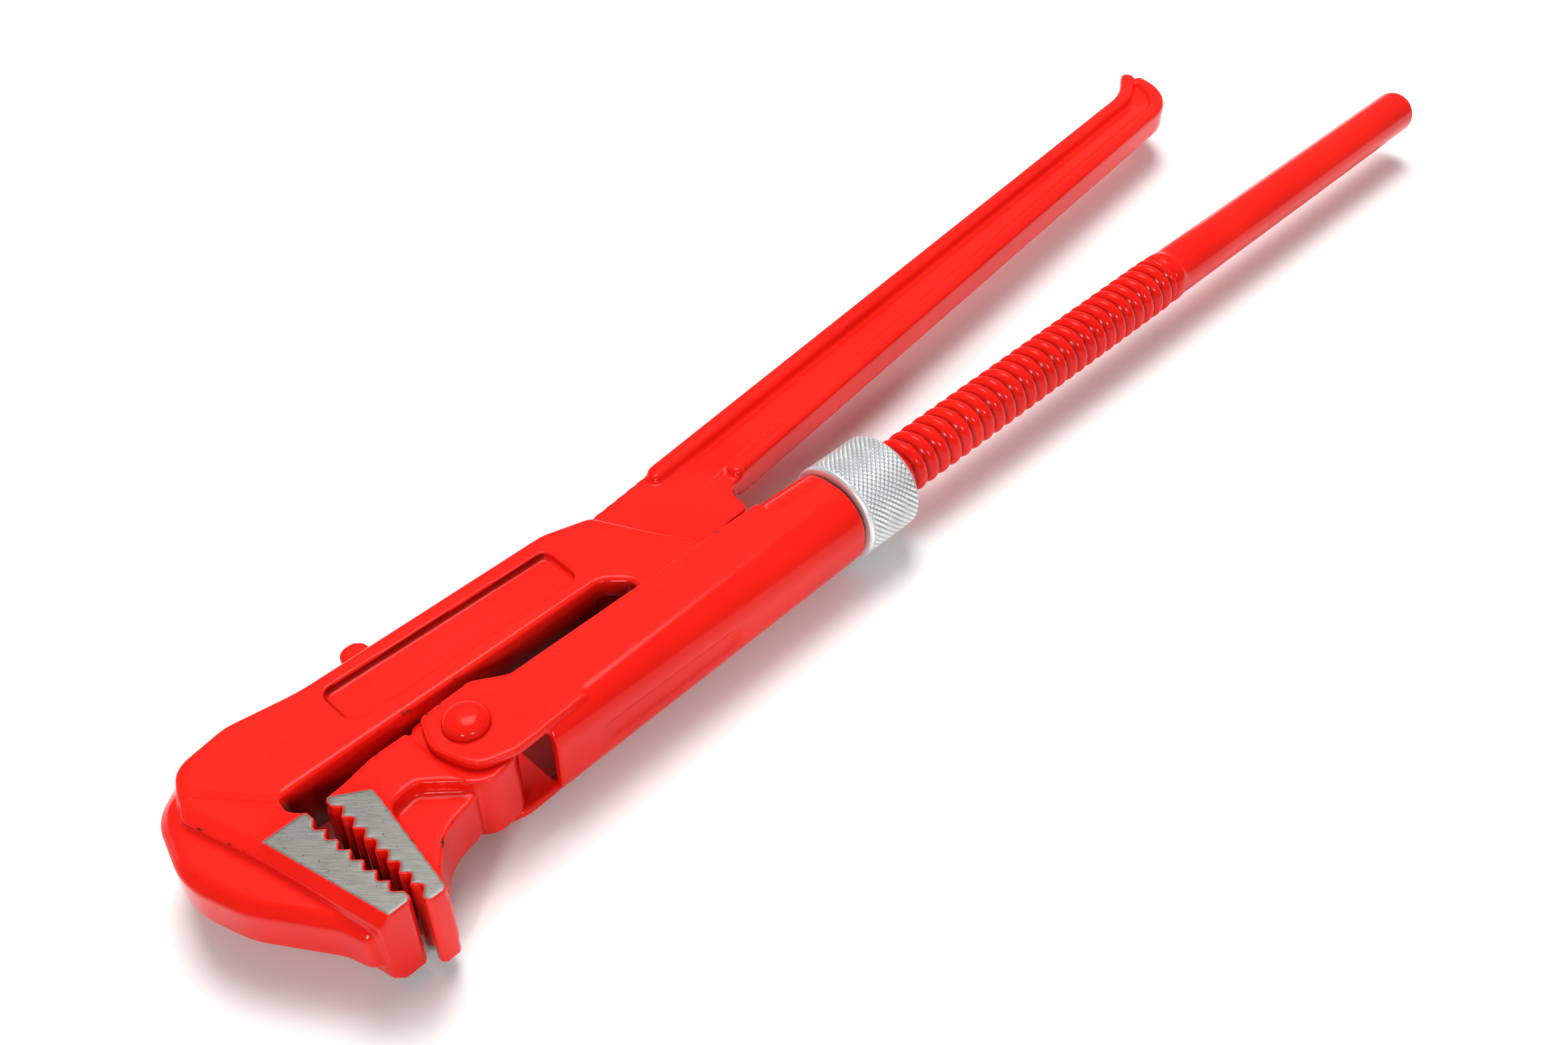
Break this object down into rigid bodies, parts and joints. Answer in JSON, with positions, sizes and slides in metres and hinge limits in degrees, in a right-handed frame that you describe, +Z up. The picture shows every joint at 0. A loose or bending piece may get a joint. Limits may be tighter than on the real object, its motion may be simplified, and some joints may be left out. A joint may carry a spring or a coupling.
{
  "type": "pipe wrench",
  "caption": "Right-angle pipe wrench with a fixed toothed hook jaw, a toothed jaw in a sheet sleeve on a threaded leg with a knurled nut, and a pivoting I-section handle.",
  "frame": {"origin": "centre of the wrench's footprint, on the surface it lies on", "axes": "+X from the jaws to the handles along the threaded leg, +Y from the leg toward the hook jaw's shank, +Z up through the flat side"},
  "size_m": [0.3136, 0.072, 0.0204],
  "materials": {
    "red_enamel": "gloss enamel over drop-forged steel",
    "zinc": "zinc plated, knurled",
    "bare_steel": "bare ground steel"
  },
  "bodies": {
    "hook": {"hook_jaw": "red_enamel", "lever_pin": "bare_steel"},
    "lever": {"handle_lever": "red_enamel"},
    "leg": {"threaded_leg": "red_enamel", "leg_pin": "bare_steel"},
    "carriage": {"sleeve": "red_enamel", "jaw_rivet": "red_enamel", "moving_jaw": "red_enamel"},
    "nut": {"adjusting_nut": "zinc"}
  },
  "joints": [
    {"name": "handle_squeeze", "type": "hinge", "parent": "hook", "child": "lever", "pos_m": [-0.06942, -0.01324, 0.0102], "axis": [0, 0, -1], "range_deg": [-12, 4]},
    {"name": "leg_follow", "type": "hinge", "parent": "lever", "child": "leg", "pos_m": [-0.06942, -0.02064, 0.0102], "axis": [0, 0, -1], "range_deg": [-4.5, 12.5]},
    {"name": "jaw_adjust", "type": "slide", "parent": "leg", "child": "carriage", "axis": [1, 0, 0], "range_m": [0, 0.031]},
    {"name": "nut_spin", "type": "hinge", "parent": "carriage", "child": "nut", "pos_m": [-0.03122, -0.01764, 0.0102], "axis": [1, 0, 0], "range_deg": [-5, 3550]}
  ],
  "couplings": [
    {"joint": "leg_follow", "follows": "handle_squeeze", "ratio": -1},
    {"joint": "nut_spin", "follows": "jaw_adjust", "rad_per_m": 1994.7}
  ]
}
